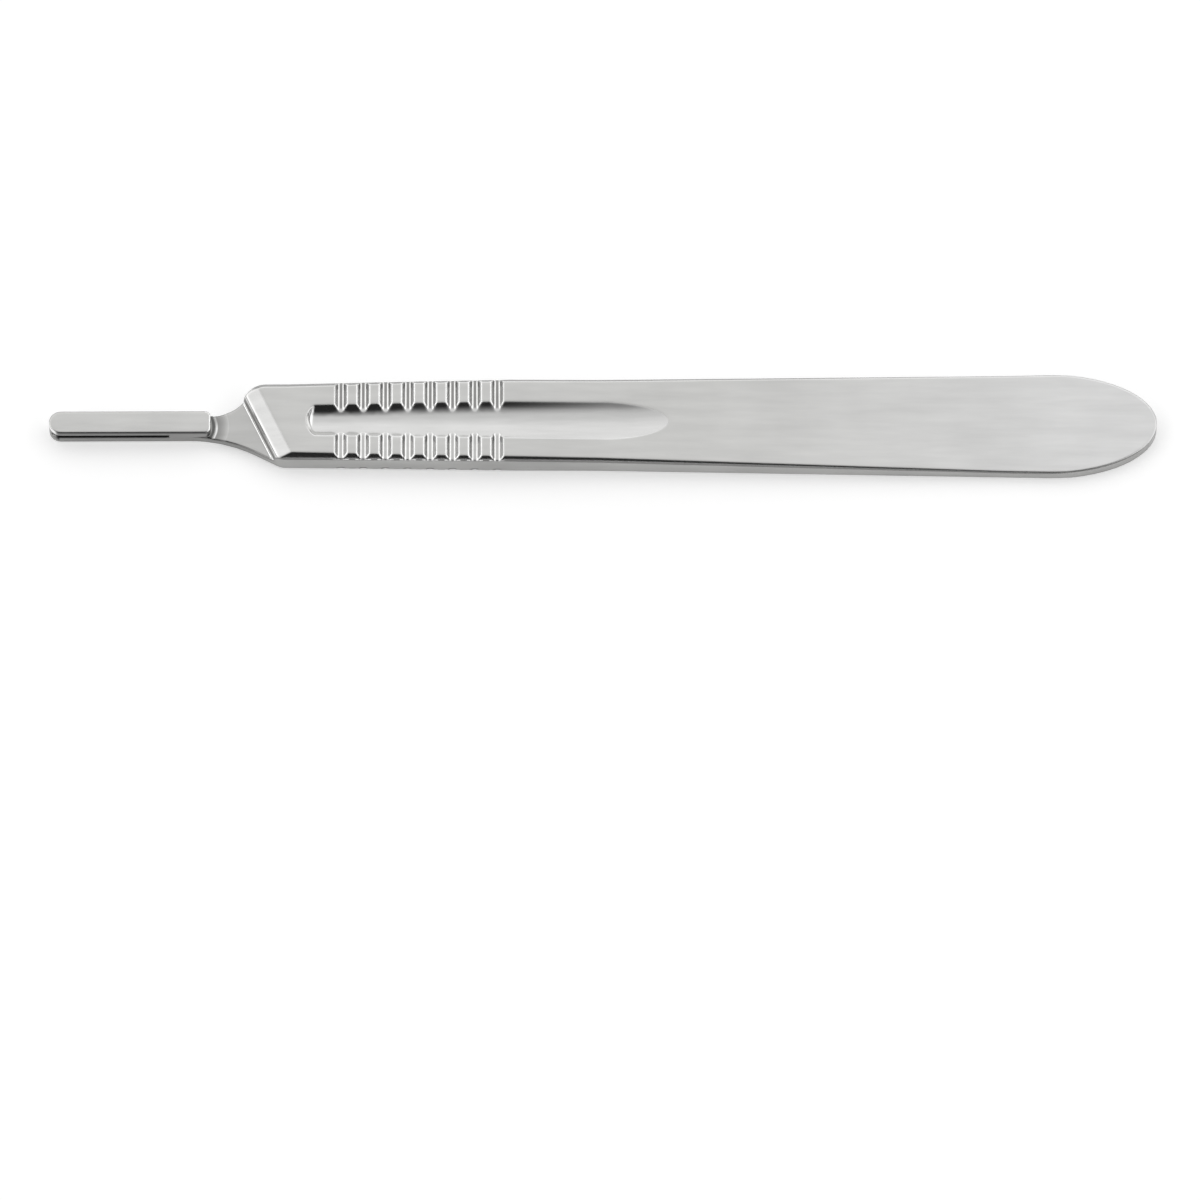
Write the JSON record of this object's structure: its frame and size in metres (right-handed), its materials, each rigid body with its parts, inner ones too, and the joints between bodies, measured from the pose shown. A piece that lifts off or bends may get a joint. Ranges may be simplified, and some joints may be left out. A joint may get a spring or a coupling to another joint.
{
  "type": "scalpel handle",
  "caption": "Flat steel handle with a grooved tongue for a detachable blade, thumb troughs and grip notches on both faces, and a thin rounded rear end.",
  "frame": {"origin": "middle of the handle's overall box in X and Y, on the back face that it lies on", "axes": "+X along the handle towards the rounded rear end, so the blade points to -X; +Z out of the front face"},
  "size_m": [0.125, 0.0126, 0.003],
  "materials": {
    "steel": "satin"
  },
  "bodies": {
    "root": {"handle": "steel"}
  },
  "joints": []
}
